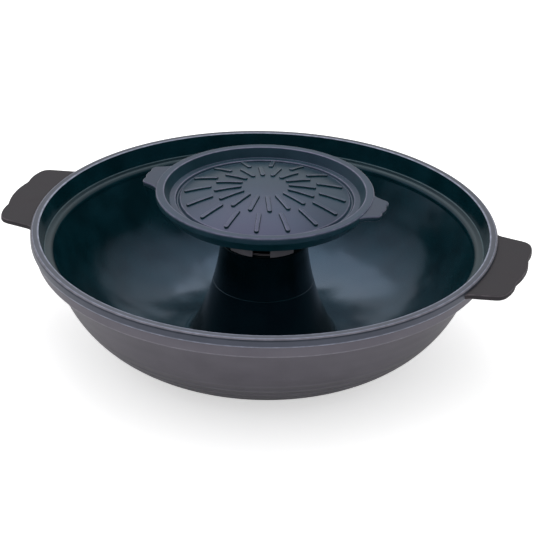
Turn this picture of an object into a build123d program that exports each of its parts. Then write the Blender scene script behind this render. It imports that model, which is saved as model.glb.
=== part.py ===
from build123d import *
import os
from math import cos, hypot, radians, sin, sqrt

# Hot pot with a grill plate on its chimney. Lengths are millimetres, angles are degrees.
# Z = 0 is the foot of the pot, the chimney stands on the Z axis, and the lugs lie along X.

# Pot rim
rim_radius = 165.0
pot_height = 89.8
rim_width = 6.0
rim_rounding = 2.5
flange_height = 6.5
flange_edge_rounding = 1.0
flange_cove_height = 1.5
band_set_in = 3.5
band_height = 16.0
band_edge_rounding = 1.5
band_shoulder_height = 1.0

# Lid seat inside the rim
seat_set_in = 9.5
seat_width = 7.3
seat_depth = 13.0
seat_wall_height = 5.2
seat_rounding = 4.0
seat_corner_rounding = 1.0

# Bowl
belly_set_in = 6.5
foot_width = 10.0
belly_curve_width = 52.0
floor_thickness = 5.0
floor_rounding = 6.0

# Pot lugs
pot_lug_drop = 2.5
pot_lug_thickness = 4.0
pot_lug_reach = 24.3
pot_lug_side_lobe_drop = 0.3
pot_lug_dip_drop = 1.9
pot_lug_corner_drop = 2.1
pot_lug_root_depth = 1.0
pot_lug_collar_set_in = 1.2
pot_lug_collar_angle = 24.0
pot_lug_root_angle = 17.5
pot_lug_corner_angle = 13.3
pot_lug_dip_angle = 5.9
pot_lug_corner_rounding = 9.0
pot_lug_dip_rounding = 12.0
pot_lug_flare = 9.0
pot_lug_edge_rounding = 1.2

# Chimney
mouth_drop = 9.2
neck_radius = 31.1
neck_length = 5.8
neck_taper = 6.5
flare_radius = 190.0
chimney_wall = 4.5
seam_height = 48.8
seam_rounding = 0.5
socket_depth = 7.0
socket_gap = 0.05
mouth_rounding = 1.2
flue_mouth_rounding = 2.5

# Vent ring
loose_gap = 0.3
spigot_wall = 2.5
lower_spigot_length = 8.0
upper_spigot_length = 5.0
shoulder_set_in = 1.2
shoulder_height = 25.2
shoulder_rounding = 0.8
vent_count = 6
vent_angle = 24.0
vent_height = 18.0
vent_turn = 43.3

# Grill plate
plate_rim_radius = 76.8
plate_rim_width = 6.0
plate_rim_height = 13.1
plate_rim_rounding = 1.5
plate_rim_inner_rounding = 1.0
plate_flange_height = 4.9
plate_flange_rounding = 0.8
plate_cove_height = 1.3
plate_wall_set_in = 3.2
plate_wall_lean = 3.9
plate_foot_width = 4.0
plate_foot_rounding = 1.2
plate_shell = 4.0
dome_radius = 180.0
ledge_drop = 6.6
ledge_width = 4.2
ledge_wall_lean = 3.7
ledge_rounding = 0.6
gutter_depth = 1.6
gutter_floor_width = 1.0
gutter_wall_lean = 1.0
gutter_dome_lean = 1.2
boss_wall = 7.5
boss_rounding = 1.0

# Ribs on the plate's dome
rib_count = 16
rib_width = 3.4
rib_height = 1.3
rib_rounding = 1.0
rib_root = 1.0
inner_rib_shares = (0.275, 0.607)
outer_rib_shares = (0.627, 0.963)

# Grill plate lugs
plate_lug_drop = 1.0
plate_lug_reach = 11.0
plate_lug_side_lobe_drop = 0.05
plate_lug_dip_drop = 1.2
plate_lug_corner_drop = 1.0
plate_lug_root_depth = 1.6
plate_lug_collar_set_in = 1.0
plate_lug_collar_angle = 27.0
plate_lug_root_angle = 16.6
plate_lug_corner_angle = 8.6
plate_lug_dip_angle = 3.7
plate_lug_corner_rounding = 2.6
plate_lug_dip_rounding = 4.0
plate_lug_flare = 14.0
plate_lug_edge_rounding = 1.0


def turned(outline):
    """Revolve a closed half outline, drawn as radius and height, round the Z axis."""
    return revolve(Plane.XZ * make_face(outline), Axis.Z)


def rounded(face, corners):
    """Round corners of a flat face. Each corner is a point of the outline and its radius."""
    for point, radius in corners:
        target = Vector(*point)
        corner = min(face.vertices(), key=lambda vertex: (Vector(*vertex) - target).length)
        face = fillet(corner, radius)
    return face


def polar(radius, angle):
    """A point of the plan at a radius and an angle from +X."""
    return (radius * cos(radians(angle)), radius * sin(radians(angle)))


def arc_through(curve, start, end):
    """An arc on a curve of radius against height, between two heights."""
    middle = (start + end) / 2
    return ThreePointArc(*[(curve(height), height) for height in (start, middle, end)])


# Radii that follow the pot's rim, and heights of the chimney that follow it
band_radius = rim_radius - band_set_in
belly_radius = band_radius - belly_set_in
seat_radius = rim_radius - seat_set_in
seat_inner_radius = seat_radius - seat_width
mouth_height = pot_height - mouth_drop
neck_height = mouth_height - neck_length

# The chimney flares downwards along one large circle, and the flue's wall is parallel to it.
flare_centre_radius = neck_radius + flare_radius * cos(radians(neck_taper))
flare_centre_height = neck_height + flare_radius * sin(radians(neck_taper))


def chimney_radius(height):
    """Outer radius of the chimney below its neck."""
    rise = flare_centre_height - height
    return flare_centre_radius - sqrt(flare_radius**2 - rise**2)


def flue_radius(height):
    """Radius of the flue inside the chimney below its neck."""
    rise = flare_centre_height - height
    return flare_centre_radius - sqrt((flare_radius + chimney_wall) ** 2 - rise**2)


mouth_bore = flue_radius(neck_height)
seam_radius = chimney_radius(seam_height)
socket_radius = (seam_radius + flue_radius(seam_height)) / 2
socket_floor_height = seam_height - socket_depth
foot_radius = chimney_radius(0) + foot_width
plate_height = mouth_height + shoulder_height
spigot_radius = mouth_bore - loose_gap

# Radii that follow the plate's rim, from the outside inwards
plate_wall_radius = plate_rim_radius - plate_wall_set_in
plate_foot_radius = plate_wall_radius - plate_wall_lean
plate_rim_inner_radius = plate_rim_radius - plate_rim_width
ledge_outer_radius = plate_rim_inner_radius - ledge_wall_lean
ledge_inner_radius = ledge_outer_radius - ledge_width
gutter_outer_radius = ledge_inner_radius - gutter_wall_lean
gutter_inner_radius = gutter_outer_radius - gutter_floor_width
dome_edge_radius = gutter_inner_radius - gutter_dome_lean


def lug_plan(root_radius, collar_radius, lobe_radius, drops, angles, corner_rounding, dip_rounding, flare):
    """Plan of a lug along +X: three shallow lobes outside and flared roots on a collar."""
    side_lobe_radius, dip_radius, corner_radius = [lobe_radius - drop for drop in drops]
    dip_angle, corner_angle, root_angle, collar_angle = angles
    side_lobe_angle = (corner_angle + dip_angle) / 2
    tab = make_face([
        ThreePointArc(polar(root_radius, root_angle), polar(root_radius, 0), polar(root_radius, -root_angle)),
        Line(polar(root_radius, -root_angle), polar(corner_radius, -corner_angle)),
        ThreePointArc(
            polar(corner_radius, -corner_angle),
            polar(side_lobe_radius, -side_lobe_angle),
            polar(dip_radius, -dip_angle),
        ),
        ThreePointArc(polar(dip_radius, -dip_angle), polar(lobe_radius, 0), polar(dip_radius, dip_angle)),
        ThreePointArc(
            polar(dip_radius, dip_angle),
            polar(side_lobe_radius, side_lobe_angle),
            polar(corner_radius, corner_angle),
        ),
        Line(polar(corner_radius, corner_angle), polar(root_radius, root_angle)),
    ])
    tab = rounded(tab, [
        (polar(corner_radius, side * corner_angle), corner_rounding) for side in (-1, 1)
    ] + [
        (polar(dip_radius, side * dip_angle), dip_rounding) for side in (-1, 1)
    ])
    collar = make_face([
        ThreePointArc(
            polar(root_radius, -collar_angle), polar(root_radius, 0), polar(root_radius, collar_angle)
        ),
        Line(polar(root_radius, collar_angle), polar(collar_radius, collar_angle)),
        ThreePointArc(
            polar(collar_radius, collar_angle), polar(collar_radius, 0), polar(collar_radius, -collar_angle)
        ),
        Line(polar(collar_radius, -collar_angle), polar(root_radius, -collar_angle)),
    ])
    plan = tab + collar
    roots = [
        vertex for vertex in plan.vertices()
        if abs(hypot(vertex.X, vertex.Y) - collar_radius) < socket_gap
        and abs(vertex.Y) < collar_radius * sin(radians((root_angle + collar_angle) / 2))
    ]
    return fillet(roots, flare)


def lug_pair(plan, collar_radius, base_height, thickness, edge_rounding):
    """Two opposite lugs, with rounded edges above and below wherever they stand free of the rim."""
    slab = extrude(plan, thickness)
    rims = [
        edge for edge in slab.edges().filter_by(Plane.XY)
        if hypot(edge.center().X, edge.center().Y) > collar_radius
    ]
    slab = fillet(rims, edge_rounding)
    slab = Pos(0, 0, base_height) * slab
    return [slab, Rot(0, 0, 180) * slab]


def make_pot_bowl():
    """The cast bowl with its rim, lid seat, lugs, foot and the chimney's root."""
    flange_bottom = pot_height - flange_height
    band_top = flange_bottom - flange_cove_height
    band_bottom = pot_height - band_height
    belly_top = band_bottom - band_shoulder_height
    seat_height = pot_height - seat_depth

    outer_corner = (foot_radius + belly_curve_width, 0)
    slope = (belly_radius - outer_corner[0]) / belly_top
    slant = hypot(1, slope)
    inner_top_height = seat_height - seat_wall_height
    inner_corner = (seat_inner_radius - (inner_top_height - floor_thickness) * slope, floor_thickness)
    outer_rounding = (outer_corner[0] - foot_radius) / (slant - slope)
    inner_rounding = (inner_corner[0] - foot_radius) / (slant - slope)

    seat_edge = (seat_inner_radius, seat_height)
    rim_edge = (rim_radius, pot_height)
    points = [
        (chimney_radius(floor_thickness), floor_thickness),
        inner_corner,
        (seat_inner_radius, inner_top_height),
        seat_edge,
        (seat_radius, seat_height),
        (rim_radius - rim_width, pot_height),
        rim_edge,
        (rim_radius, flange_bottom),
        (band_radius, band_top),
        (band_radius, band_bottom),
        (belly_radius, belly_top),
        outer_corner,
        (flue_radius(0), 0),
    ]
    socket_points = [
        (flue_radius(socket_floor_height), socket_floor_height),
        (socket_radius, socket_floor_height),
        (socket_radius, seam_height),
        (seam_radius, seam_height),
    ]
    section = make_face([
        Polyline(*points),
        arc_through(flue_radius, 0, socket_floor_height),
        Polyline(*socket_points),
        arc_through(chimney_radius, seam_height, floor_thickness),
    ])
    section = rounded(section, [
        (outer_corner, outer_rounding),
        (inner_corner, inner_rounding),
        (seat_edge, seat_rounding),
        ((seat_radius, seat_height), seat_corner_rounding),
        (rim_edge, rim_rounding),
        ((rim_radius - rim_width, pot_height), flange_edge_rounding),
        ((rim_radius, flange_bottom), flange_edge_rounding),
        ((band_radius, band_bottom), band_edge_rounding),
        ((flue_radius(0), 0), flue_mouth_rounding),
        (points[0], floor_rounding),
        ((seam_radius, seam_height), seam_rounding),
    ])
    bowl = revolve(Plane.XZ * section, Axis.Z)
    collar_radius = rim_radius - pot_lug_collar_set_in
    plan = lug_plan(
        band_radius - pot_lug_root_depth, collar_radius, rim_radius + pot_lug_reach,
        (pot_lug_side_lobe_drop, pot_lug_dip_drop, pot_lug_corner_drop),
        (pot_lug_dip_angle, pot_lug_corner_angle, pot_lug_root_angle, pot_lug_collar_angle),
        pot_lug_corner_rounding, pot_lug_dip_rounding, pot_lug_flare,
    )
    lug_base = pot_height - pot_lug_drop - pot_lug_thickness
    return bowl + lug_pair(plan, collar_radius, lug_base, pot_lug_thickness, pot_lug_edge_rounding)


def make_chimney():
    """The upper tube of the chimney, with the spigot that sits in the root's socket."""
    spigot_outer = socket_radius - socket_gap
    flue_at_seam = flue_radius(seam_height)
    mouth_edge = (neck_radius, mouth_height)
    section = make_face([
        Line((mouth_bore, neck_height), (mouth_bore, mouth_height)),
        Line((mouth_bore, mouth_height), mouth_edge),
        Line(mouth_edge, (neck_radius, neck_height)),
        arc_through(chimney_radius, neck_height, seam_height),
        Polyline(
            (seam_radius, seam_height),
            (spigot_outer, seam_height),
            (spigot_outer, socket_floor_height),
            (flue_at_seam, socket_floor_height),
            (flue_at_seam, seam_height),
        ),
        arc_through(flue_radius, seam_height, neck_height),
    ])
    section = rounded(section, [
        (mouth_edge, mouth_rounding),
        ((seam_radius, seam_height), seam_rounding),
    ])
    return revolve(Plane.XZ * section, Axis.Z)


def make_vent_ring():
    """The slotted ring that stands in the chimney's mouth and carries the plate."""
    bore = spigot_radius - spigot_wall
    shoulder_radius = neck_radius - shoulder_set_in
    shoulder_top = (shoulder_radius, plate_height)
    section = make_face(Polyline(
        (bore, mouth_height - lower_spigot_length),
        (spigot_radius, mouth_height - lower_spigot_length),
        (spigot_radius, mouth_height),
        (shoulder_radius, mouth_height),
        shoulder_top,
        (spigot_radius, plate_height),
        (spigot_radius, plate_height + upper_spigot_length),
        (bore, plate_height + upper_spigot_length),
        (bore, mouth_height - lower_spigot_length),
    ))
    section = rounded(section, [(shoulder_top, shoulder_rounding)])
    ring = revolve(Plane.XZ * section, Axis.Z)
    vent_width = 2 * shoulder_radius * sin(radians(vent_angle / 2))
    vent = Box(
        neck_radius, vent_width, vent_height, align=(Align.MIN, Align.CENTER, Align.MIN)
    )
    for index in range(vent_count):
        turn = vent_turn + index * 360 / vent_count
        ring -= Rot(0, 0, turn) * Pos(0, 0, mouth_height) * vent
    return ring


def dome_height(radius, depth=0):
    """Height of the plate's dome at a radius, or of a face that lies a depth under it."""
    centre = plate_height + plate_rim_height - ledge_drop - sqrt(dome_radius**2 - dome_edge_radius**2)
    return centre + sqrt((dome_radius - depth) ** 2 - radius**2)


def dome_arc(start, end, depth=0):
    """An arc of the dome, or of a face under it, between two radii."""
    middle = (start + end) / 2
    return ThreePointArc(*[(radius, dome_height(radius, depth)) for radius in (start, middle, end)])


def make_rib(start, end):
    """One radial rib along +X, with a rounded top that follows the dome."""
    band = turned([
        dome_arc(0, dome_edge_radius, -rib_height),
        Line(
            (dome_edge_radius, dome_height(dome_edge_radius, -rib_height)),
            (dome_edge_radius, dome_height(dome_edge_radius, rib_root)),
        ),
        dome_arc(dome_edge_radius, 0, rib_root),
        Line((0, dome_height(0, rib_root)), (0, dome_height(0, -rib_height))),
    ])
    straight = end - start - rib_width
    outline = Pos((start + end) / 2, 0) * SlotCenterToCenter(straight, rib_width)
    rib = Pos(0, 0, plate_height) * extrude(outline, 2 * plate_rim_height) & band
    top = rib.faces().sort_by(Axis.Z)[-1]
    return fillet(top.edges(), rib_rounding)


def make_grill_plate():
    """The cast plate with its dome, ribs, gutter, rim, lugs and the boss under it."""
    top = plate_height + plate_rim_height
    ledge_height = top - ledge_drop
    gutter_floor = ledge_height - gutter_depth
    flange_bottom = top - plate_flange_height
    boss_bore = spigot_radius + loose_gap
    boss_radius = boss_bore + boss_wall
    foot_inner_radius = plate_foot_radius - plate_foot_width
    rim_edge = (plate_rim_radius, top)
    section = make_face([
        dome_arc(0, dome_edge_radius),
        Polyline(
            (dome_edge_radius, dome_height(dome_edge_radius)),
            (gutter_inner_radius, gutter_floor),
            (gutter_outer_radius, gutter_floor),
            (ledge_inner_radius, ledge_height),
            (ledge_outer_radius, ledge_height),
            (plate_rim_inner_radius, top),
            rim_edge,
            (plate_rim_radius, flange_bottom),
            (plate_wall_radius, flange_bottom - plate_cove_height),
            (plate_foot_radius, plate_height),
            (foot_inner_radius, plate_height),
            (foot_inner_radius, gutter_floor - plate_shell),
            (dome_edge_radius, gutter_floor - plate_shell),
            (dome_edge_radius, dome_height(dome_edge_radius, plate_shell)),
        ),
        dome_arc(dome_edge_radius, boss_radius, plate_shell),
        Polyline(
            (boss_radius, dome_height(boss_radius, plate_shell)),
            (boss_radius, plate_height),
            (boss_bore, plate_height),
            (boss_bore, dome_height(boss_bore, plate_shell)),
        ),
        dome_arc(boss_bore, 0, plate_shell),
        Line((0, dome_height(0, plate_shell)), (0, dome_height(0))),
    ])
    section = rounded(section, [
        (rim_edge, plate_rim_rounding),
        ((plate_rim_inner_radius, top), plate_rim_inner_rounding),
        ((ledge_outer_radius, ledge_height), ledge_rounding),
        ((ledge_inner_radius, ledge_height), ledge_rounding),
        ((plate_rim_radius, flange_bottom), plate_flange_rounding),
        ((plate_foot_radius, plate_height), plate_foot_rounding),
        ((boss_radius, plate_height), boss_rounding),
    ])
    plate = revolve(Plane.XZ * section, Axis.Z)
    inner_rib = make_rib(*[share * dome_edge_radius for share in inner_rib_shares])
    outer_rib = make_rib(*[share * dome_edge_radius for share in outer_rib_shares])
    rib_pitch = 360 / rib_count
    ribs = []
    for index in range(rib_count):
        ribs.append(Rot(0, 0, index * rib_pitch) * inner_rib)
        ribs.append(Rot(0, 0, (index + 1 / 2) * rib_pitch) * outer_rib)
    collar_radius = plate_rim_radius - plate_lug_collar_set_in
    plan = lug_plan(
        plate_wall_radius - plate_lug_root_depth, collar_radius, plate_rim_radius + plate_lug_reach,
        (plate_lug_side_lobe_drop, plate_lug_dip_drop, plate_lug_corner_drop),
        (plate_lug_dip_angle, plate_lug_corner_angle, plate_lug_root_angle, plate_lug_collar_angle),
        plate_lug_corner_rounding, plate_lug_dip_rounding, plate_lug_flare,
    )
    lug_thickness = plate_flange_height - plate_lug_drop
    lugs = lug_pair(plan, collar_radius, flange_bottom, lug_thickness, plate_lug_edge_rounding)
    return plate + ribs + lugs


nodes = {
    "pot_bowl": make_pot_bowl(),
    "chimney": make_chimney(),
    "vent_ring": make_vent_ring(),
    "grill_plate": make_grill_plate(),
}

os.makedirs("parts", exist_ok=True)
for name, shape in nodes.items():
    export_step(shape, "parts/" + name + ".step")
    box = shape.bounding_box()
    print(name, "volume", round(shape.volume), "solids", len(shape.solids()), "size", box.size)
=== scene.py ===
import bpy
from math import asin, cos, hypot, pi, radians, sin, sqrt, tan
from mathutils import Matrix, Vector


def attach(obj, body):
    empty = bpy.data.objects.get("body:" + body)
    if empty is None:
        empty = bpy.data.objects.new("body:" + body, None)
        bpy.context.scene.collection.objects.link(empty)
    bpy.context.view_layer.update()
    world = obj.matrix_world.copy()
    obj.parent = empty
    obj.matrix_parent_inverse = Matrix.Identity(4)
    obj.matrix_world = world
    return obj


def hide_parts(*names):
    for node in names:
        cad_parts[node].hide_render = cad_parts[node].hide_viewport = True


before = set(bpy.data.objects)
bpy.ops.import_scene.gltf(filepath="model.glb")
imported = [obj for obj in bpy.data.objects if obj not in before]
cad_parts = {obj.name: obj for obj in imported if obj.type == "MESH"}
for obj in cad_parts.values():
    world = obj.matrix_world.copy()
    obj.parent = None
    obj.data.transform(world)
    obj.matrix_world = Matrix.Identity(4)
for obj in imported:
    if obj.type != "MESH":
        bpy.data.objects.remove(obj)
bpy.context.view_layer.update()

# Z = 0 is the foot of the pot, the chimney stands on the Z axis, and the lugs lie along X.
# Blender works in metres. mm is one millimetre.
mm = 0.001

# Fineness of the shapes
turning_steps = 288
small_arc_step = radians(10)
large_arc_step = radians(1.6)
large_arc_radius = 30 * mm
fewest_arc_steps = 3
flare_step = 4 * mm
dome_step = 3 * mm
fewest_curve_steps = 2
vent_foot_steps = 24
rib_end_steps = 16
rib_length_steps = 5
lug_edge_steps = 4
vent_foot_edge_steps = 3
smooth_angle = radians(32)
bevel_angle = radians(40)
merge_distance = 0.003 * mm

# Pot rim
rim_radius = 165 * mm
pot_height = 89.8 * mm
rim_width = 6 * mm
rim_rounding = 2.5 * mm
flange_bottom = pot_height - 6.5 * mm
cove_height = 1.5 * mm
band_radius = rim_radius - 3.5 * mm
band_bottom = pot_height - 16 * mm
band_rounding = 1.5 * mm
belly_top = band_bottom - 1 * mm
edge_rounding = 1 * mm

# Lid seat inside the rim
seat_radius = rim_radius - 9.5 * mm
seat_inner_radius = seat_radius - 7.3 * mm
seat_height = pot_height - 13 * mm
seat_wall = 5.2 * mm
seat_rounding = 4 * mm

# Pot lugs. Angles are taken round the Z axis from a lug's middle. A drop is how much less than the middle
# lobe a place stands out.
pot_lug_outline = dict(
    root=band_radius - 1 * mm,
    collar=rim_radius - 1.2 * mm,
    middle_lobe=rim_radius + 24.3 * mm,
    side_lobe_drop=0.3 * mm,
    dip_drop=1.9 * mm,
    corner_drop=2.1 * mm,
    dip_angle=radians(5.9),
    corner_angle=radians(13.3),
    root_angle=radians(17.5),
    collar_angle=radians(24),
    corner_rounding=9 * mm,
    dip_rounding=12 * mm,
    flare=9 * mm,
)
pot_lug_thickness = 4 * mm
pot_lug_edge = 1.2 * mm

# Chimney
mouth_height = pot_height - 9.2 * mm
neck_radius = 31.1 * mm
neck_height = mouth_height - 5.8 * mm
neck_taper = radians(6.5)
flare_radius = 190 * mm
chimney_wall = 4.5 * mm
seam_height = 48.8 * mm
seam_rounding = 0.5 * mm
socket_floor = seam_height - 7 * mm
socket_gap = 0.05 * mm
mouth_rounding = 1.2 * mm
flue_mouth_rounding = 2.5 * mm
flare_centre_radius = neck_radius + flare_radius * cos(neck_taper)
flare_centre_height = neck_height + flare_radius * sin(neck_taper)

# Bowl
belly_radius = band_radius - 6.5 * mm
belly_curve_width = 52 * mm
floor_height = 5 * mm
floor_rounding = 6 * mm
foot_width = 10 * mm

# Vent ring
loose_gap = 0.3 * mm
spigot_wall = 2.5 * mm
lower_spigot = 8 * mm
upper_spigot = 5 * mm
shoulder_radius = neck_radius - 1.2 * mm
shoulder_rounding = 0.8 * mm
vent_count = 6
vent_angle = radians(24)
vent_height = 18 * mm
vent_turn = radians(43.3)
ring_edge = 0.5 * mm

# Grill plate
plate_height = mouth_height + 25.2 * mm
plate_top = plate_height + 13.1 * mm
plate_rim_radius = 76.8 * mm
plate_rim_inner = plate_rim_radius - 6 * mm
plate_rim_rounding = 1.5 * mm
plate_flange_bottom = plate_top - 4.9 * mm
plate_cove = 1.3 * mm
plate_wall = plate_rim_radius - 3.2 * mm
plate_foot = plate_wall - 3.9 * mm
plate_foot_width = 4 * mm
plate_foot_rounding = 1.2 * mm
plate_shell = 4 * mm
ledge_height = plate_top - 6.6 * mm
ledge_outer = plate_rim_inner - 3.7 * mm
ledge_inner = ledge_outer - 4.2 * mm
ledge_rounding = 0.6 * mm
gutter_floor = ledge_height - 1.6 * mm
gutter_outer = ledge_inner - 1 * mm
gutter_inner = gutter_outer - 1 * mm
dome_edge = gutter_inner - 1.2 * mm
dome_radius = 180 * mm
dome_centre = ledge_height - sqrt(dome_radius**2 - dome_edge**2)
boss_wall = 7.5 * mm
gutter_rounding = 0.3 * mm
plate_flange_rounding = 0.8 * mm

# Grill plate lugs
plate_lug_outline = dict(
    root=plate_wall - 1.6 * mm,
    collar=plate_rim_radius - 1 * mm,
    middle_lobe=plate_rim_radius + 11 * mm,
    side_lobe_drop=0.05 * mm,
    dip_drop=1.2 * mm,
    corner_drop=1 * mm,
    dip_angle=radians(3.7),
    corner_angle=radians(8.6),
    root_angle=radians(16.6),
    collar_angle=radians(27),
    corner_rounding=2.6 * mm,
    dip_rounding=4 * mm,
    flare=14 * mm,
)
plate_lug_thickness = 3.9 * mm
plate_lug_edge = 1 * mm

# Lugs run into the rims just inside the rims' own faces
lug_clearance = 0.02 * mm

# Ribs on the plate's dome
rib_count = 16
rib_width = 3.4 * mm
rib_height = 1.3 * mm
rib_root = 1 * mm
rib_rounding = 1 * mm
inner_rib = (0.275 * dome_edge, 0.607 * dome_edge)
outer_rib = (0.627 * dome_edge, 0.963 * dome_edge)


def select_only(*pieces):
    """Select these pieces and nothing else, in object mode."""
    if bpy.context.mode != "OBJECT":
        bpy.ops.object.mode_set(mode="OBJECT")
    bpy.ops.object.select_all(action="DESELECT")
    for piece in pieces:
        piece.select_set(True)
    if pieces:
        bpy.context.view_layer.objects.active = pieces[0]


def draw_line(name, points):
    """A new piece with one line of edges through the points. It is left in edit mode, all selected."""
    select_only()
    bpy.ops.mesh.primitive_plane_add(size=mm, location=(0, 0, 0))
    piece = bpy.context.object
    piece.name = name
    bpy.ops.object.mode_set(mode="EDIT")
    bpy.ops.mesh.select_mode(type="VERT")
    bpy.ops.mesh.select_all(action="SELECT")
    bpy.ops.mesh.merge(type="CENTER")
    bpy.ops.transform.translate(value=points[0])
    for before, after in zip(points, points[1:]):
        bpy.ops.mesh.extrude_region_move(TRANSFORM_OT_translate={"value": Vector(after) - Vector(before)})
    bpy.ops.mesh.select_all(action="SELECT")
    return piece


def put(piece, matrix):
    """Turn and move a piece, and keep its object at the origin."""
    select_only(piece)
    piece.matrix_world = matrix
    bpy.ops.object.transform_apply(location=True, rotation=True, scale=True)


def turned_copy(piece, angle):
    """A copy of a piece with its own mesh, turned round the Z axis."""
    copy = piece.copy()
    copy.data = piece.data.copy()
    bpy.context.collection.objects.link(copy)
    put(copy, Matrix.Rotation(angle, 4, "Z"))
    return copy


def join(*pieces):
    """Join pieces into the first one."""
    select_only(*pieces)
    bpy.ops.object.join()
    return pieces[0]


def pick_edges(piece, wanted):
    """Select the edges whose two ends pass a test. The piece is left in edit mode."""
    bpy.ops.object.mode_set(mode="EDIT")
    bpy.ops.mesh.select_mode(type="EDGE")
    bpy.ops.mesh.select_all(action="DESELECT")
    bpy.ops.object.mode_set(mode="OBJECT")
    for edge in piece.data.edges:
        edge.select = wanted(*[piece.data.vertices[index].co for index in edge.vertices])
    bpy.ops.object.mode_set(mode="EDIT")


def smooth(piece):
    """Merge doubles, turn the faces outwards and shade the piece smooth between its sharp edges."""
    select_only(piece)
    bpy.ops.object.mode_set(mode="EDIT")
    bpy.ops.mesh.select_all(action="SELECT")
    bpy.ops.mesh.remove_doubles(threshold=merge_distance)
    bpy.ops.mesh.normals_make_consistent(inside=False)
    bpy.ops.object.mode_set(mode="OBJECT")
    bpy.ops.object.shade_smooth_by_angle(angle=smooth_angle)
    apply_modifier(piece, "WEIGHTED_NORMAL", keep_sharp=True)
    return piece


def apply_modifier(piece, kind, **settings):
    """Give a piece a modifier with these settings and apply it."""
    select_only(piece)
    modifier = piece.modifiers.new(kind, kind)
    for name, value in settings.items():
        setattr(modifier, name, value)
    bpy.ops.object.modifier_apply(modifier=modifier.name)


def turn(name, outline):
    """A turned piece, from its outline of radius and height."""
    piece = draw_line(name, [(radius, 0, height) for radius, height in outline])
    bpy.ops.mesh.spin(steps=turning_steps, angle=2 * pi, center=(0, 0, 0), axis=(0, 0, 1))
    return smooth(piece)


def round_corners(corners):
    """Points along a line of corners. Each corner is two sizes and a rounding, and the ends stay sharp."""
    points = [Vector(corners[0][:2])]
    for before, here, after in zip(corners, corners[1:], corners[2:]):
        corner, rounding = Vector(here[:2]), here[2] if len(here) > 2 else 0
        if rounding == 0:
            points.append(corner)
            continue
        back = (Vector(before[:2]) - corner).normalized()
        ahead = (Vector(after[:2]) - corner).normalized()
        opening = back.angle(ahead)
        start = corner + back * (rounding / tan(opening / 2))
        centre = corner + (back + ahead).normalized() * (rounding / sin(opening / 2))
        points += arc_points(centre, start, pi - opening, back.cross(ahead) > 0)
    points.append(Vector(corners[-1][:2]))
    return [tuple(point) for point in points]


def arc_points(centre, start, angle, clockwise):
    """Points on an arc round a centre, from a start through an angle."""
    spoke = start - centre
    step = large_arc_step if spoke.length > large_arc_radius else small_arc_step
    count = max(fewest_arc_steps, round(angle / step))
    side = -1 if clockwise else 1
    return [
        centre + Matrix.Rotation(side * angle * index / count, 2) @ spoke for index in range(count + 1)
    ]


def flare_points(offset, start, end):
    """Points on the chimney's flare, or on the flue's wall at an offset inside it, between two heights."""
    count = max(fewest_curve_steps, round(abs(end - start) / flare_step))
    points = []
    for index in range(count + 1):
        height = start + (end - start) * index / count
        from_centre = sqrt((flare_radius + offset) ** 2 - (flare_centre_height - height) ** 2)
        points.append((flare_centre_radius - from_centre, height))
    return points


def dome_points(depth, start, end):
    """Points on the plate's dome, or on a face at a depth under it, between two radii."""
    count = max(fewest_curve_steps, round(abs(end - start) / dome_step))
    radii = [start + (end - start) * index / count for index in range(count + 1)]
    return [(radius, dome_centre + sqrt((dome_radius - depth) ** 2 - radius**2)) for radius in radii]


# Sizes that follow from the ones above and from the chimney's flare
flue_base = flare_points(chimney_wall, 0, socket_floor)
chimney_root = flare_points(0, seam_height, floor_height)
seam_radius = chimney_root[0][0]
flue_at_seam = flare_points(chimney_wall, seam_height, neck_height)[0][0]
socket_radius = (seam_radius + flue_at_seam) / 2
mouth_bore = flare_points(chimney_wall, neck_height, seam_height)[0][0]
foot_radius = flare_points(0, 0, seam_height)[0][0] + foot_width
base_corner = foot_radius + belly_curve_width
belly_slope = (belly_radius - base_corner) / belly_top
belly_slant = hypot(1, belly_slope)
inner_corner = seat_inner_radius - (seat_height - seat_wall - floor_height) * belly_slope
spigot_radius = mouth_bore - loose_gap
ring_bore = spigot_radius - spigot_wall
vent_top = mouth_height + vent_height
vent_pitch = 2 * pi / vent_count
half_vent = shoulder_radius * sin(vent_angle / 2)


def make_pot():
    """The bowl with its rim and lid seat, and the chimney's root."""
    outline = round_corners(
        [(socket_radius, seam_height), (seam_radius, seam_height, seam_rounding)]
        + chimney_root[1:-1]
        + [
            (*chimney_root[-1], floor_rounding),
            (inner_corner, floor_height, (inner_corner - foot_radius) / (belly_slant - belly_slope)),
            (seat_inner_radius, seat_height - seat_wall),
            (seat_inner_radius, seat_height, seat_rounding),
            (seat_radius, seat_height, edge_rounding),
            (rim_radius - rim_width, pot_height, edge_rounding),
            (rim_radius, pot_height, rim_rounding),
            (rim_radius, flange_bottom, edge_rounding),
            (band_radius, flange_bottom - cove_height),
            (band_radius, band_bottom, band_rounding),
            (belly_radius, belly_top),
            (base_corner, 0, (base_corner - foot_radius) / (belly_slant - belly_slope)),
            (*flue_base[0], flue_mouth_rounding),
        ]
        + flue_base[1:]
        + [(socket_radius, socket_floor), (socket_radius, seam_height)]
    )
    return turn("pot_bowl_casting", outline)


def make_chimney():
    """The upper tube of the chimney."""
    spigot = socket_radius - socket_gap
    outline = round_corners(
        [(mouth_bore, neck_height), (mouth_bore, mouth_height), (neck_radius, mouth_height, mouth_rounding)]
        + flare_points(0, neck_height, seam_height)[:-1]
        + [
            (seam_radius, seam_height, seam_rounding),
            (spigot, seam_height),
            (spigot, socket_floor),
            (flue_at_seam, socket_floor),
        ]
        + flare_points(chimney_wall, seam_height, neck_height)
    )
    return turn("chimney_tube", outline)


def polar(radius, angle):
    """The place at a radius and an angle round the Z axis."""
    return Vector((radius * cos(angle), radius * sin(angle)))


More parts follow.
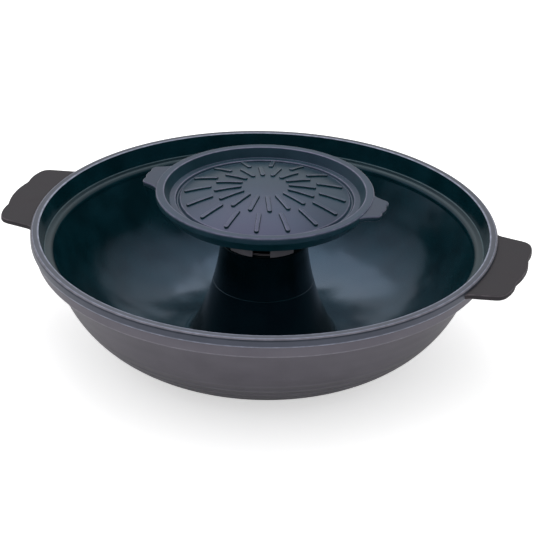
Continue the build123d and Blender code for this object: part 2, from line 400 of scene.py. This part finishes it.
def arc_circle(first, middle, last):
    """Centre and radius of the circle through three points."""
    a, b = middle - first, last - first
    cross = 2 * (a.x * b.y - a.y * b.x)
    centre = first + Vector((
        (b.y * a.length_squared - a.y * b.length_squared) / cross,
        (a.x * b.length_squared - b.x * a.length_squared) / cross,
    ))
    return centre, (centre - first).length


def circles_meet(first, first_radius, second, second_radius):
    """The place where two circles meet that lies further out along X."""
    between = second - first
    along = (between.length_squared + first_radius**2 - second_radius**2) / (2 * between.length)
    across = sqrt(first_radius**2 - along**2)
    unit = between.normalized()
    places = [first + unit * along + side * across * Vector((-unit.y, unit.x)) for side in (-1, 1)]
    return max(places, key=lambda place: place.x)


def line_meets_circle(start, unit, centre, radius):
    """The place where a line leaves a circle, in the line's own direction."""
    back = start - centre
    along = -back.dot(unit) + sqrt(back.dot(unit) ** 2 - back.length_squared + radius**2)
    return start + unit * along


def sweep(centre, start, end):
    """Points on the shorter arc round a centre between two points."""
    first, last = start - centre, end - centre
    return arc_points(centre, start, first.angle(last), first.cross(last) < 0)


def lug_points(
    root, collar, middle_lobe, side_lobe_drop, dip_drop, corner_drop, dip_angle, corner_angle, root_angle,
    collar_angle, corner_rounding, dip_rounding, flare,
):
    """Points round a lug along +X: three shallow lobes with a dip on each side of the middle one, two
    rounded corners, and flared roots that run into the rim."""
    axis = Vector((0, 0))
    side_lobe, dip, corner = [middle_lobe - drop for drop in (side_lobe_drop, dip_drop, corner_drop)]
    tip, dip_point = polar(middle_lobe, 0), polar(dip, dip_angle)
    corner_point, root_point = polar(corner, corner_angle), polar(root, root_angle)
    middle_centre, middle_radius = arc_circle(tip, dip_point, polar(dip, -dip_angle))
    side_centre, side_radius = arc_circle(
        dip_point, polar(side_lobe, (corner_angle + dip_angle) / 2), corner_point
    )
    dip_centre = circles_meet(
        middle_centre, middle_radius + dip_rounding, side_centre, side_radius + dip_rounding
    )
    flank = (corner_point - root_point).normalized()
    outward = Vector((-flank.y, flank.x))
    corner_centre = line_meets_circle(
        root_point - outward * corner_rounding, flank, side_centre, side_radius - corner_rounding
    )
    flare_centre = line_meets_circle(root_point + outward * flare, flank, axis, collar + flare)
    dip_start = middle_centre + (dip_centre - middle_centre).normalized() * middle_radius
    dip_end = side_centre + (dip_centre - side_centre).normalized() * side_radius
    corner_start = side_centre + (corner_centre - side_centre).normalized() * side_radius
    half = (
        sweep(middle_centre, tip, dip_start)
        + sweep(dip_centre, dip_start, dip_end)
        + sweep(side_centre, dip_end, corner_start)
        + sweep(corner_centre, corner_start, corner_centre + outward * corner_rounding)
        + sweep(flare_centre, flare_centre - outward * flare, flare_centre.normalized() * collar)
        + [polar(collar, collar_angle)]
        + sweep(axis, polar(root, collar_angle), polar(root, 0))
    )
    half = [
        point for before, point in zip([half[-1]] + half, half) if (point - before).length > merge_distance
    ]
    return half + [Vector((point.x, -point.y)) for point in reversed(half)]


def make_lugs(name, outline, bottom, thickness, edge):
    """Two opposite lugs, with rounded edges everywhere but at their roots."""
    points = lug_points(**outline)
    piece = draw_line(name, [(point.x, point.y, bottom + lug_clearance) for point in points])
    bpy.ops.mesh.remove_doubles(threshold=merge_distance)
    bpy.ops.mesh.edge_face_add()
    bpy.ops.mesh.extrude_region_move(
        TRANSFORM_OT_translate={"value": (0, 0, thickness - 2 * lug_clearance)}
    )
    hidden = outline["root"] + merge_distance
    pick_edges(piece, lambda one, other: (
        abs(one.z - other.z) < merge_distance and min(one.xy.length, other.xy.length) > hidden
    ))
    bpy.ops.mesh.bevel(offset=edge, segments=lug_edge_steps, affect="EDGES", clamp_overlap=True)
    smooth(piece)
    return join(piece, turned_copy(piece, pi))


def make_vent_foot(start):
    """One foot of the vent ring. It starts half a vent after an angle, and ends half a vent before the next
    vent's middle."""
    low, high = mouth_height - ring_edge, vent_top + ring_edge
    corners = [
        (ring_bore, low), (ring_bore, high), (shoulder_radius, high), (shoulder_radius, low),
        (ring_bore, low),
    ]
    foot = draw_line("vent_ring_foot", [
        (radius * cos(start), radius * sin(start), height) for radius, height in corners
    ])
    bpy.ops.mesh.remove_doubles(threshold=merge_distance)
    bpy.ops.mesh.edge_face_add()
    # Spin turns clockwise for a positive angle
    bpy.ops.mesh.spin(steps=vent_foot_steps, angle=-vent_pitch, center=(0, 0, 0), axis=(0, 0, 1))
    for end, side in ((start, 1), (start + vent_pitch, -1)):
        across = Vector((-sin(end), cos(end), 0)) * side
        bpy.ops.mesh.select_all(action="SELECT")
        bpy.ops.mesh.bisect(plane_co=across * half_vent, plane_no=across, use_fill=True, clear_inner=True)
    bpy.ops.object.mode_set(mode="OBJECT")
    return foot


def make_vent_ring():
    """The ring that carries the plate: two spigots, a shoulder, and feet with vents between them."""
    spigot_bottom, spigot_top = mouth_height - lower_spigot, plate_height + upper_spigot
    lower = turn("vent_ring_lower", round_corners([
        (ring_bore, mouth_height),
        (ring_bore, spigot_bottom, ring_edge),
        (spigot_radius, spigot_bottom, ring_edge),
        (spigot_radius, mouth_height, ring_edge),
        (ring_bore, mouth_height),
    ]))
    upper = turn("vent_ring_upper", round_corners([
        (ring_bore, vent_top),
        (shoulder_radius, vent_top, ring_edge),
        (shoulder_radius, plate_height, shoulder_rounding),
        (spigot_radius, plate_height),
        (spigot_radius, spigot_top, ring_edge),
        (ring_bore, spigot_top, ring_edge),
        (ring_bore, vent_top),
    ]))
    feet = join(*[make_vent_foot(vent_turn + index * vent_pitch) for index in range(vent_count)])
    apply_modifier(
        feet, "BEVEL", width=ring_edge, segments=vent_foot_edge_steps, limit_method="ANGLE",
        angle_limit=bevel_angle,
    )
    ring = join(lower, upper, smooth(feet))
    ring.name = "vent_ring_casting"
    return ring


def make_rib(name, start, end):
    """One rounded rib that follows the dome, at the middle of its place along +X."""
    half_angle = (end - start - rib_width) / (2 * dome_radius)
    half_width = rib_width / 2
    profile = round_corners([
        (0, dome_radius + rib_height),
        (half_width, dome_radius + rib_height, rib_rounding),
        (half_width, dome_radius - rib_root),
    ])
    piece = draw_line(name, [(0, across, height) for across, height in profile])
    bpy.ops.mesh.spin(steps=rib_end_steps, angle=pi, center=(0, 0, 0), axis=(0, 0, 1))
    bpy.ops.mesh.select_all(action="SELECT")
    bpy.ops.mesh.remove_doubles(threshold=merge_distance)
    pick_edges(piece, lambda one, other: abs(one.x) < merge_distance and abs(other.x) < merge_distance)
    bpy.ops.mesh.spin(steps=rib_length_steps, angle=half_angle, center=(0, 0, 0), axis=(0, 1, 0))
    put(piece, Matrix.Rotation(half_angle, 4, "Y"))
    apply_modifier(piece, "MIRROR", merge_threshold=merge_distance)
    lean = asin((start + end) / 2 / dome_radius)
    put(piece, Matrix.Translation((0, 0, dome_centre)) @ Matrix.Rotation(lean, 4, "Y"))
    return piece


def make_grill_plate():
    """The round plate: dome, ribs, juice gutter, ledge, rim and the boss under it."""
    foot_inner = plate_foot - plate_foot_width
    boss_bore = spigot_radius + loose_gap
    boss_radius = boss_bore + boss_wall
    shell_height = gutter_floor - plate_shell
    dome = dome_points(0, 0, dome_edge)
    outline = round_corners(
        dome[:-1]
        + [
            (*dome[-1], ledge_rounding),
            (gutter_inner, gutter_floor, gutter_rounding),
            (gutter_outer, gutter_floor, gutter_rounding),
            (ledge_inner, ledge_height, ledge_rounding),
            (ledge_outer, ledge_height, ledge_rounding),
            (plate_rim_inner, plate_top, edge_rounding),
            (plate_rim_radius, plate_top, plate_rim_rounding),
            (plate_rim_radius, plate_flange_bottom, plate_flange_rounding),
            (plate_wall, plate_flange_bottom - plate_cove),
            (plate_foot, plate_height, plate_foot_rounding),
            (foot_inner, plate_height, ledge_rounding),
            (foot_inner, shell_height),
            (dome_edge, shell_height),
        ]
        + dome_points(plate_shell, dome_edge, boss_radius)
        + [(boss_radius, plate_height, edge_rounding), (boss_bore, plate_height)]
        + dome_points(plate_shell, boss_bore, 0)
    )
    plate = turn("grill_plate_casting", outline)
    inner, outer = make_rib("rib_inner", *inner_rib), make_rib("rib_outer", *outer_rib)
    pitch = 2 * pi / rib_count
    ribs = [smooth(turned_copy(inner, index * pitch)) for index in range(rib_count)]
    ribs += [smooth(turned_copy(outer, (index + 1 / 2) * pitch)) for index in range(rib_count)]
    bpy.data.objects.remove(inner)
    bpy.data.objects.remove(outer)
    return join(plate, *ribs)


pot = make_pot()
chimney = make_chimney()
pot_lugs = make_lugs("pot_lugs", pot_lug_outline, flange_bottom, pot_lug_thickness, pot_lug_edge)
plate = make_grill_plate()
plate_lugs = make_lugs(
    "plate_lugs", plate_lug_outline, plate_flange_bottom, plate_lug_thickness, plate_lug_edge
)
ring = make_vent_ring()


def hex_colour(code):
    """Linear colour of an sRGB hex value."""
    values = [int(code[start:start + 2], 16) / 255 for start in (1, 3, 5)]
    linear = [value / 12.92 if value <= 0.04045 else ((value + 0.055) / 1.055) ** 2.4 for value in values]
    return (*linear, 1)


def add_node(tree, kind, inputs=None, give=None, **settings):
    """Add a node. Its inputs take values, or the outputs of other nodes. The output that give names is
    returned, or else the node itself."""
    node = tree.nodes.new(kind)
    for name, value in settings.items():
        setattr(node, name, value)
    for name, value in (inputs or {}).items():
        if isinstance(value, bpy.types.NodeSocket):
            tree.links.new(value, node.inputs[name])
        else:
            node.inputs[name].default_value = value
    return node if give is None else node.outputs[give]


def empty_material(name):
    """A material with nothing in its node tree, and the tree."""
    material = bpy.data.materials.new(name)
    material.use_nodes = True
    material.node_tree.nodes.clear()
    return material, material.node_tree


# A Mix node's sockets for colours go by number, because its sockets for other kinds have the same names
first_colour = 6
second_colour = 7
mixed_colour = 2

# Patterns of the coatings: the soft patches of an unevenly baked film, how much they differ in roughness,
# the specks that rubbing leaves, and the broad unevenness of the casting under a gloss
patch_size = 22 * mm
patch_contrast = 0.12
rub_size = 5 * mm
sag_size = 32 * mm

# The belly's marks. A lathe's feed is well under 1 mm and too fine to show, so its rings are drawn this far
# apart. They and the darker tone towards the foot are strongest up to the lower height, and faint or gone
# from the upper one.
belly_ring_pitch = 5 * mm
belly_ring_depth = belly_ring_pitch / 16
belly_marks_low = 25 * mm
belly_marks_high = 45 * mm
belly_foot_colour = "#1a1c20"


def radius_and_height(tree, place):
    """How far a place is from the Z axis, and how high it is."""
    flat = add_node(
        tree, "ShaderNodeVectorMath", {0: place, 1: (1, 1, 0)}, give="Vector", operation="MULTIPLY"
    )
    radius = add_node(tree, "ShaderNodeVectorMath", {0: flat}, give="Value", operation="LENGTH")
    height = add_node(tree, "ShaderNodeSeparateXYZ", {"Vector": place}, give="Z")
    return radius, height


def edge_wear(tree, place, edges, reach):
    """1 at the turned edges, each a radius and a height, and 0 from a reach away."""
    radius, height = radius_and_height(tree, place)
    section = add_node(tree, "ShaderNodeCombineXYZ", {"X": radius, "Z": height}, give="Vector")
    wear = 0.0
    for edge_radius, edge_height in edges:
        away = add_node(
            tree, "ShaderNodeVectorMath", {0: section, 1: (edge_radius, 0, edge_height)},
            give="Value", operation="DISTANCE",
        )
        near = add_node(
            tree, "ShaderNodeMapRange", {"Value": away, "From Max": reach, "To Min": 1.0, "To Max": 0.0},
            give="Result",
        )
        wear = add_node(tree, "ShaderNodeMath", {0: near, 1: wear}, give="Value", operation="MAXIMUM")
    return wear


def slope_wear(tree):
    """1 on rounded edges, which face between upwards and sideways, and 0 on level and upright faces."""
    normal = add_node(tree, "ShaderNodeNewGeometry", give="Normal")
    upwards = add_node(tree, "ShaderNodeSeparateXYZ", {"Vector": normal}, give="Z")
    level = add_node(tree, "ShaderNodeMath", {0: upwards}, give="Value", operation="ABSOLUTE")
    not_upright = add_node(
        tree, "ShaderNodeMapRange", {"Value": level, "From Min": 0.15, "From Max": 0.5}, give="Result"
    )
    not_level = add_node(
        tree, "ShaderNodeMapRange", {"Value": level, "From Min": 0.97, "From Max": 0.75}, give="Result"
    )
    return add_node(
        tree, "ShaderNodeMath", {0: not_upright, 1: not_level}, give="Value", operation="MULTIPLY"
    )


def coat_colour(tree, place, patches, shades, worn, wear):
    """Two shades in soft patches, rubbed in specks to a lighter shade where the wear is."""
    share = add_node(
        tree, "ShaderNodeMapRange", {"Value": patches, "From Min": 0.35, "From Max": 0.65}, give="Result"
    )
    whole = add_node(tree, "ShaderNodeMix", {
        "Factor": share, first_colour: hex_colour(shades[0]), second_colour: hex_colour(shades[1]),
    }, give=mixed_colour, data_type="RGBA")
    specks = add_node(
        tree, "ShaderNodeTexNoise", {"Vector": place, "Scale": 1 / rub_size, "Detail": 4.0}, give="Fac"
    )
    uneven = add_node(
        tree, "ShaderNodeMapRange", {"Value": specks, "From Min": 0.4, "From Max": 0.6, "To Min": 0.55},
        give="Result",
    )
    rubbed = add_node(tree, "ShaderNodeMath", {0: wear, 1: uneven}, give="Value", operation="MULTIPLY")
    return add_node(tree, "ShaderNodeMix", {
        "Factor": rubbed, first_colour: whole, second_colour: hex_colour(worn),
    }, give=mixed_colour, data_type="RGBA")


def coat_bump(tree, place, grain, relief, sag):
    """The uneven skin of the sprayed film, and under a gloss the broad unevenness of the casting too."""
    skin = add_node(
        tree, "ShaderNodeTexNoise", {"Vector": place, "Scale": 1 / grain, "Detail": 2.0}, give="Fac"
    )
    bump = add_node(
        tree, "ShaderNodeBump", {"Height": skin, "Strength": relief, "Distance": grain / 10}, give="Normal"
    )
    if sag:
        swell = add_node(
            tree, "ShaderNodeTexNoise", {"Vector": place, "Scale": 1 / sag_size, "Detail": 1.0}, give="Fac"
        )
        bump = add_node(
            tree, "ShaderNodeBump", {"Height": swell, "Strength": 1.0, "Distance": sag, "Normal": bump},
            give="Normal",
        )
    return bump


def belly_marks(tree, place, colour, worn, bump):
    """Add the lathe's rings and a darker tone towards the foot to the belly's colour and bump."""
    radius, height = radius_and_height(tree, place)
    turns = add_node(
        tree, "ShaderNodeMath", {0: radius, 1: 2 * pi / belly_ring_pitch}, give="Value", operation="MULTIPLY"
    )
    wave = add_node(tree, "ShaderNodeMath", {0: turns}, give="Value", operation="SINE")
    strength = add_node(tree, "ShaderNodeMapRange", {
        "Value": height, "From Min": belly_marks_low, "From Max": belly_marks_high,
        "To Min": 1.0, "To Max": 0.15,
    }, give="Result")
    rings = add_node(tree, "ShaderNodeMath", {0: wave, 1: strength}, give="Value", operation="MULTIPLY")
    ringed_bump = add_node(tree, "ShaderNodeBump", {
        "Height": rings, "Strength": 0.8, "Distance": belly_ring_depth, "Normal": bump,
    }, give="Normal")
    crests = add_node(
        tree, "ShaderNodeMapRange", {"Value": rings, "From Min": 0.2, "To Max": 0.3}, give="Result"
    )
    ringed = add_node(tree, "ShaderNodeMix", {
        "Factor": crests, first_colour: colour, second_colour: hex_colour(worn),
    }, give=mixed_colour, data_type="RGBA")
    darker_low = add_node(tree, "ShaderNodeMapRange", {
        "Value": height, "From Min": belly_marks_high, "From Max": belly_marks_low, "To Max": 0.4,
    }, give="Result")
    darkened = add_node(tree, "ShaderNodeMix", {
        "Factor": darker_low, first_colour: ringed, second_colour: hex_colour(belly_foot_colour),
    }, give=mixed_colour, data_type="RGBA")
    return darkened, ringed_bump


def coat(
    name, shades, worn, roughness, tint, ior, grain, relief, edges=(), reach=0.0, sag=0.0, belly=False
):
    """The finish of a casting: its colour, its gloss and the unevenness of its skin. It is worn along the
    turned edges within a reach, or where none are given, along every rounded edge."""
    material, tree = empty_material(name)
    place = add_node(tree, "ShaderNodeTexCoord", give="Object")
    patches = add_node(
        tree, "ShaderNodeTexNoise", {"Vector": place, "Scale": 1 / patch_size, "Detail": 3.0}, give="Fac"
    )
    wear = edge_wear(tree, place, edges, reach) if edges else slope_wear(tree)
    colour = coat_colour(tree, place, patches, shades, worn, wear)
    rough = add_node(tree, "ShaderNodeMapRange", {
        "Value": patches, "From Min": 0.3, "From Max": 0.7,
        "To Min": roughness * (1 - patch_contrast), "To Max": roughness * (1 + patch_contrast),
    }, give="Result")
    bump = coat_bump(tree, place, grain, relief, sag)
    if belly:
        colour, bump = belly_marks(tree, place, colour, worn, bump)
    shader = add_node(tree, "ShaderNodeBsdfPrincipled", {
        "Base Color": colour, "Roughness": rough, "IOR": ior, "Specular Tint": hex_colour(tint),
        "Normal": bump,
    }, give="BSDF")
    add_node(tree, "ShaderNodeOutputMaterial", {"Surface": shader})
    return material


# Edges where the coatings wear first, each a radius and a height. Along the rim and its flange the lighter
# colour is partly painted highlight.
seat_inner_edge = (seat_inner_radius, seat_height)
seat_outer_edge = (seat_radius, seat_height)
seam_edge = (seam_radius, seam_height)
rim_inner_edge = (rim_radius - rim_width + 0.4 * mm, pot_height)
rim_outer_edge = (rim_radius - 1 * mm, pot_height - 0.3 * mm)
rim_side_edge = (rim_radius, pot_height - 0.8 * mm)
flange_edge = (rim_radius, flange_bottom)
band_edge = (band_radius, band_bottom)
plate_inner_edge = (plate_rim_inner + 0.3 * mm, plate_top)
plate_outer_edge = (plate_rim_radius - 0.5 * mm, plate_top - 0.5 * mm)
gutter_inner_edge = (dome_edge, ledge_height)
gutter_outer_edge = (ledge_inner, ledge_height)

# Inside: a dark glossy non-stick coating. It gives the near-black bowl with soft bluish lights in it.
wet_coat = coat(
    "glossy_non_stick_coating", shades=("#001f25", "#042c34"), worn="#3c444c", roughness=0.2,
    tint="#a4bee0", ior=1.9, grain=1.6 * mm, relief=0.12, edges=[seat_inner_edge], reach=0.9 * mm,
    sag=1.4 * mm,
)
# Chimney: the same coating, drawn darker than the bowl's as painted shade, so that it stands black against
# the bowl.
chimney_painted_shade_coat = coat(
    "chimney_non_stick_coating_with_painted_shade", shades=("#00070a", "#011115"), worn="#20282c", roughness=0.24,
    tint="#84b0c4", ior=1.5, grain=1.6 * mm, relief=0.12, edges=[seam_edge], reach=0.6 * mm, sag=1 * mm,
)
# Rim and its side: the same coating, rubbed to a bluish grey by lids, and lighter along the rim's edges
# partly from that rubbing and partly as painted highlight. It gives the light line round the bowl and the
# darker one under it.
rim_wear_and_painted_highlight_coat = coat(
    "rubbed_non_stick_coating_with_painted_highlight", shades=("#303338", "#3a3d44"), worn="#a2a8bc", roughness=0.34,
    tint="#d8e0ff", ior=1.8, grain=1.2 * mm, relief=0.3,
    edges=[rim_inner_edge, rim_outer_edge, flange_edge], reach=1.1 * mm,
)
# Lid seat: the same coating, scuffed by lids to a dull dark teal.
seat_coat = coat(
    "scuffed_non_stick_coating", shades=("#06181d", "#0a2228"), worn="#3e555c", roughness=0.36,
    tint="#b4d0e0", ior=1.7, grain=1.2 * mm, relief=0.3, edges=[seat_outer_edge], reach=1.1 * mm,
)
# Outside: a matt grey heat-proof coating over turned metal. It gives the soft grey belly, with faint rings
# and a darker tone towards the foot.
outside_coat = coat(
    "matt_heat_proof_coating", shades=("#413e44", "#4e4b51"), worn="#9c99a4", roughness=0.34,
    tint="#f0ecff", ior=2.0, grain=0.9 * mm, relief=0.5, edges=[rim_side_edge, flange_edge, band_edge],
    reach=1.3 * mm, belly=True,
)
# Lugs: the same coating over the casting's own grained skin, rubbed lighter where hands hold the edges.
lug_coat = coat(
    "heat_proof_coating_on_cast_lugs", shades=("#2c2a2c", "#363335"), worn="#5c565a", roughness=0.62,
    tint="#f4f0ff", ior=1.4, grain=0.9 * mm, relief=0.7,
)
# Plate: a satin non-stick coating, slate where it catches the light and dark teal in the shade.
plate_coat = coat(
    "satin_non_stick_coating", shades=("#063037", "#0b3840"), worn="#6c6e80", roughness=0.34,
    tint="#d2c0f8", ior=1.75, grain=1.3 * mm, relief=0.25,
    edges=[plate_inner_edge, plate_outer_edge, gutter_inner_edge, gutter_outer_edge], reach=0.8 * mm,
)
# Plate's lugs: the same coating, a shade darker, and rubbed along all their rounded edges.
plate_lug_coat = coat(
    "satin_non_stick_coating_on_lugs", shades=("#042a30", "#093238"), worn="#5c5e6e", roughness=0.34,
    tint="#d2c0f8", ior=1.75, grain=1.3 * mm, relief=0.25,
)
# Rib tops: the plate's coating, lighter partly from rubbing where food and tongs slide over them and partly
# as painted highlight.
rib_top_wear_and_painted_highlight_coat = coat(
    "satin_non_stick_coating_on_rib_tops_with_painted_highlight", shades=("#0b3238", "#153c42"), worn="#8a8c9c", roughness=0.3,
    tint="#d2bcf6", ior=1.75, grain=1.3 * mm, relief=0.2,
)
# Flanks of the ribs: the same coating, dulled, and darkened as painted shade where the ribs meet the dome.
# It draws a dark line round each rib.
rib_flank_painted_shade_coat = coat(
    "non_stick_coating_with_painted_shade_on_rib_flanks", shades=("#0a2a31", "#0f333a"), worn="#22343a", roughness=0.45,
    tint="#c0c4e8", ior=1.5, grain=1.3 * mm, relief=0.25,
)
# Bore of the chimney's tube: bare aluminium, browned by the stove's gas. The film that the gas leaves hides
# the metal's own shine, so it is drawn as the film, with no metallic.
flue_metal = coat(
    "stained_flue_aluminium", shades=("#262323", "#3a3532"), worn="#5a5450", roughness=0.6, tint="#ffffff",
    ior=1.5, grain=1 * mm, relief=0.5,
)
# Vent ring: shot-blasted cast aluminium, matt and finely pitted, under the same kind of film. The real pits
# are a few tenths of a millimetre across, and are drawn at 0.5 mm to show in a close view.
blasted_metal = coat(
    "shot_blasted_aluminium", shades=("#68666c", "#827f86"), worn="#9c9698", roughness=0.6, tint="#ffffff",
    ior=1.5, grain=0.5 * mm, relief=0.8,
)

# Where one finish gives way to the next. A name that ends in out or up is for how much a face looks away
# from the Z axis or upwards, from -1 to 1.
chimney_root_out = 0.82
bowl_wall_out = -0.2
bowl_up = 0.02
shelf_up = 0.6
chimney_mouth_up = 0.5
rib_top_up = 0.75
rib_least_height = 0.1 * mm
flange_inner_radius = band_radius + 0.3 * mm
flange_side_top = pot_height - 1 * mm
wet_radius = rim_radius - 1.2 * mm
rim_least_height = (seat_height + pot_height) / 2


def facing_out(place, normal):
    """How much a face looks away from the Z axis."""
    return (normal.x * place.x + normal.y * place.y) / hypot(place.x, place.y)


def pot_finish(place, normal):
    """The finish of a face of the pot."""
    radius = hypot(place.x, place.y)
    out = facing_out(place, normal)
    # The chimney's root takes the chimney's coating with painted shade.
    if out > chimney_root_out and radius < foot_radius and place.z > floor_height:
        return chimney_painted_shade_coat
    if radius > flange_inner_radius and flange_bottom < place.z < flange_side_top:
        # The rim's side and top take the rubbed coating with painted highlight.
        return rim_wear_and_painted_highlight_coat
    if normal.z > shelf_up and seat_inner_radius < radius < wet_radius:
        return rim_wear_and_painted_highlight_coat if place.z > rim_least_height else seat_coat
    in_bowl = normal.z > bowl_up and radius < wet_radius
    on_bowl_wall = out < bowl_wall_out and radius > foot_radius
    return wet_coat if in_bowl or on_bowl_wall else outside_coat


def chimney_finish(place, normal):
    """The finish of a face of the chimney's tube: coated outside and at its mouth, and bare in its bore."""
    # Outside and at the mouth the tube takes the coating with painted shade, and in its bore the bare metal.
    coated = facing_out(place, normal) > 0 or normal.z > chimney_mouth_up
    return chimney_painted_shade_coat if coated else flue_metal


def plate_finish(place, normal):
    """The finish of a face of the plate. The ribs are what stands above the dome."""
    above = (place - Vector((0, 0, dome_centre))).length - dome_radius
    if above < rib_least_height or hypot(place.x, place.y) > dome_edge:
        return plate_coat
    # Rib tops take the coating with painted highlight, and rib flanks the one with painted shade.
    return rib_top_wear_and_painted_highlight_coat if normal.z > rib_top_up else rib_flank_painted_shade_coat


def paint(piece, finishes, choose=None):
    """Give a piece its finishes. Where there are more than one, choose takes a face's place and normal and
    returns its finish."""
    piece.data.materials.clear()
    for finish in finishes:
        piece.data.materials.append(finish)
    if choose:
        for face in piece.data.polygons:
            face.material_index = finishes.index(choose(face.center, face.normal))


paint(pot, [outside_coat, wet_coat, rim_wear_and_painted_highlight_coat, seat_coat, chimney_painted_shade_coat], pot_finish)
paint(chimney, [flue_metal, chimney_painted_shade_coat], chimney_finish)
paint(pot_lugs, [lug_coat])
paint(plate, [plate_coat, rib_top_wear_and_painted_highlight_coat, rib_flank_painted_shade_coat], plate_finish)
paint(plate_lugs, [plate_lug_coat])
paint(ring, [blasted_metal])

for piece, node, body, slot in (
    (pot, "pot_bowl", "pot", "coated_casting"),
    (pot_lugs, "pot_bowl", "pot", "coated_casting"),
    (chimney, "chimney", "pot", "coated_tube"),
    (ring, "vent_ring", "ring", "bare_casting"),
    (plate, "grill_plate", "plate", "coated_plate"),
    (plate_lugs, "grill_plate", "plate", "coated_plate"),
):
    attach(piece, body)
    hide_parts(node)

# The camera stands where the photograph was taken from, fitted to the circles of the rim, seat and plate.
# The lens and the sensor's width are in millimetres, as Blender takes them.
view_turn = radians(16.75)
view_tilt = radians(27.32)
view_roll = radians(1.122)
view_distance = 2.0
view_aim = Vector((1.99 * mm, 0.55 * mm, 58.4 * mm))
lens_length = 189.9
sensor_width = 36
behind = Vector((-sin(view_turn), cos(view_turn), 0))
beside = Vector((cos(view_turn), sin(view_turn), 0))
backwards = Vector((sin(view_turn) * cos(view_tilt), -cos(view_turn) * cos(view_tilt), sin(view_tilt)))
upwards = backwards.cross(beside)
right = beside * cos(view_roll) + upwards * sin(view_roll)
up = upwards * cos(view_roll) - beside * sin(view_roll)
camera = bpy.data.objects.new("camera", bpy.data.cameras.new("camera"))
bpy.context.collection.objects.link(camera)
camera.data.lens = lens_length
camera.data.sensor_width = sensor_width
camera.matrix_world = Matrix.Translation(view_aim + backwards * view_distance) @ Matrix(
    (right, up, backwards)
).transposed().to_4x4()
bpy.context.scene.camera = camera

# Pale floor. It is lifted to white for the camera, and keeps the object's shadow.
floor_size = 6
floor_lift = 0.55
select_only()
bpy.ops.mesh.primitive_plane_add(size=floor_size, location=(0, 0, 0))
floor = bpy.context.object
floor.name = "floor"
floor_paint, tree = empty_material("pale_floor")
seen = add_node(tree, "ShaderNodeLightPath", give="Is Camera Ray")
lift = add_node(tree, "ShaderNodeMath", {0: seen, 1: floor_lift}, give="Value", operation="MULTIPLY")
pale = add_node(tree, "ShaderNodeBsdfDiffuse", {"Color": hex_colour("#f4f4f4")}, give="BSDF")
glow = add_node(
    tree, "ShaderNodeEmission", {"Color": hex_colour("#ffffff"), "Strength": lift}, give="Emission"
)
both = add_node(tree, "ShaderNodeAddShader", {0: pale, 1: glow}, give="Shader")
add_node(tree, "ShaderNodeOutputMaterial", {"Surface": both})
floor.data.materials.append(floor_paint)

# The lamp is above and behind the object, and a little to the left.
lamp_size = 1.2
lamp_power = 4
lamp_distance = 1.5
lamp_left = 0.35
lamp_up = 2.2
lamp_side = (behind - beside * lamp_left + Vector((0, 0, lamp_up))).normalized()

# White surroundings, and plain light on the object from all sides. In reflections the studio is white on
# the lamp's side, and dim on the side away from it. The plain light is weaker from there too.
world = bpy.data.worlds.new("studio")
world.use_nodes = True
tree = world.node_tree
tree.nodes.clear()
path = add_node(tree, "ShaderNodeLightPath").outputs
mirrored = add_node(
    tree, "ShaderNodeMath", {0: path["Is Glossy Ray"], 1: path["Is Transmission Ray"]},
    give="Value", operation="MAXIMUM",
)
shown = add_node(
    tree, "ShaderNodeMath", {0: path["Is Camera Ray"], 1: mirrored}, give="Value", operation="MAXIMUM"
)
towards = add_node(tree, "ShaderNodeTexCoord", give="Generated")
side = add_node(
    tree, "ShaderNodeVectorMath", {0: towards, 1: tuple(lamp_side)}, give="Value", operation="DOT_PRODUCT"
)
brightness = add_node(
    tree, "ShaderNodeMapRange", {"Value": side, "From Min": 0.2, "From Max": 0.95}, give="Result"
)
seen_in_gloss = add_node(tree, "ShaderNodeMix", {
    "Factor": brightness, first_colour: hex_colour("#1c2c30"), second_colour: hex_colour("#ffffff"),
}, give=mixed_colour, data_type="RGBA")
shade = add_node(tree, "ShaderNodeMix", {
    "Factor": mirrored, first_colour: hex_colour("#ffffff"), second_colour: seen_in_gloss,
}, give=mixed_colour, data_type="RGBA")
fill = add_node(tree, "ShaderNodeMapRange", {
    "Value": side, "From Min": -0.7, "From Max": 0.7, "To Min": 0.55, "To Max": 0.92,
}, give="Result")
strength = add_node(
    tree, "ShaderNodeMapRange", {"Value": shown, "To Min": fill, "To Max": 1.0}, give="Result"
)
sky = add_node(tree, "ShaderNodeBackground", {"Color": shade, "Strength": strength}, give="Background")
add_node(tree, "ShaderNodeOutputWorld", {"Surface": sky})
bpy.context.scene.world = world

# One large soft lamp
lamp = bpy.data.objects.new("soft_lamp", bpy.data.lights.new("soft_lamp", "AREA"))
bpy.context.collection.objects.link(lamp)
lamp.data.shape = "SQUARE"
lamp.data.size = lamp_size
lamp.data.energy = lamp_power
lamp.location = lamp_side * lamp_distance
lamp.rotation_euler = lamp_side.to_track_quat("Z", "Y").to_euler()

bpy.context.scene.view_settings.view_transform = "Standard"
